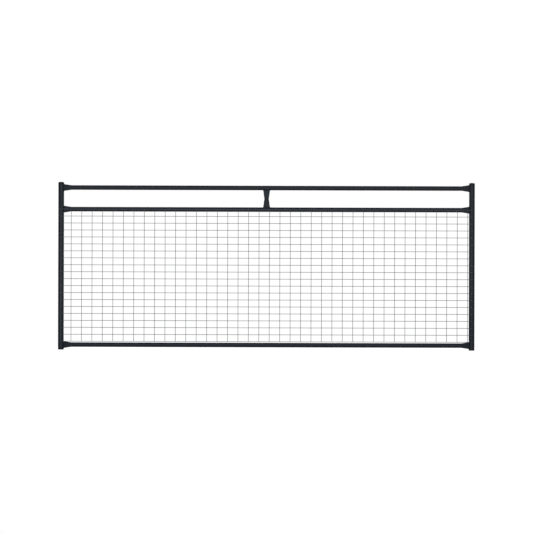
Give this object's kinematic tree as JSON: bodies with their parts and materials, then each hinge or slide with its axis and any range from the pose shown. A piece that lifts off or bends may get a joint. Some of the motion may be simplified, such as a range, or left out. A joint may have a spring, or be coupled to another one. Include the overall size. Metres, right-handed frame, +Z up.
{
  "type": "livestock panel gate",
  "caption": "Long low gate of round welded tube, with a short hourglass brace in its open top bay and a welded wire sheet on one face below.",
  "frame": {"origin": "on the ground, midway between the two uprights, in the plane of their axes; the wire sheet moves the bounding box's centre 3.3 mm to -Y of it", "axes": "+X along the gate from the left upright to the right one, +Z up, and the wire sheet on the -Y face, which is the front"},
  "size_m": [3.0448, 0.0488, 1.2256],
  "materials": {
    "coated_tube": "satin black powder coat on steel tube",
    "coated_wire": "satin charcoal powder coat on welded wire",
    "coated_weld": "black powder coat over rippled weld",
    "end_cap_plastic": "moulded black polyethylene, satin"
  },
  "bodies": {
    "root": {"bottom_rail": "coated_tube", "bottom_rail_welds": "coated_weld", "brace_welds": "coated_weld", "centre_brace": "coated_tube", "cross_wires_01": "coated_wire", "cross_wires_02": "coated_wire", "cross_wires_03": "coated_wire", "cross_wires_04": "coated_wire", "cross_wires_05": "coated_wire", "cross_wires_06": "coated_wire", "cross_wires_07": "coated_wire", "cross_wires_08": "coated_wire", "cross_wires_09": "coated_wire", "cross_wires_10": "coated_wire", "cross_wires_11": "coated_wire", "cross_wires_12": "coated_wire", "cross_wires_13": "coated_wire", "cross_wires_14": "coated_wire", "cross_wires_15": "coated_wire", "cross_wires_16": "coated_wire", "cross_wires_17": "coated_wire", "cross_wires_18": "coated_wire", "cross_wires_19": "coated_wire", "cross_wires_20": "coated_wire", "left_foot_cap": "end_cap_plastic", "left_top_cap": "end_cap_plastic", "left_upright": "coated_tube", "left_upright_tacks": "coated_weld", "line_wire_01": "coated_wire", "line_wire_02": "coated_wire", "line_wire_03": "coated_wire", "line_wire_04": "coated_wire", "line_wire_05": "coated_wire", "line_wire_06": "coated_wire", "line_wire_07": "coated_wire", "line_wire_08": "coated_wire", "line_wire_09": "coated_wire", "line_wire_10": "coated_wire", "line_wire_11": "coated_wire", "line_wire_12": "coated_wire", "line_wire_13": "coated_wire", "line_wire_14": "coated_wire", "line_wire_15": "coated_wire", "line_wire_16": "coated_wire", "line_wire_17": "coated_wire", "line_wire_18": "coated_wire", "line_wire_19": "coated_wire", "line_wire_20": "coated_wire", "middle_rail": "coated_tube", "middle_rail_tacks": "coated_weld", "middle_rail_welds": "coated_weld", "right_foot_cap": "end_cap_plastic", "right_top_cap": "end_cap_plastic", "right_upright": "coated_tube", "right_upright_tacks": "coated_weld", "top_rail": "coated_tube", "top_rail_welds": "coated_weld"}
  },
  "joints": []
}
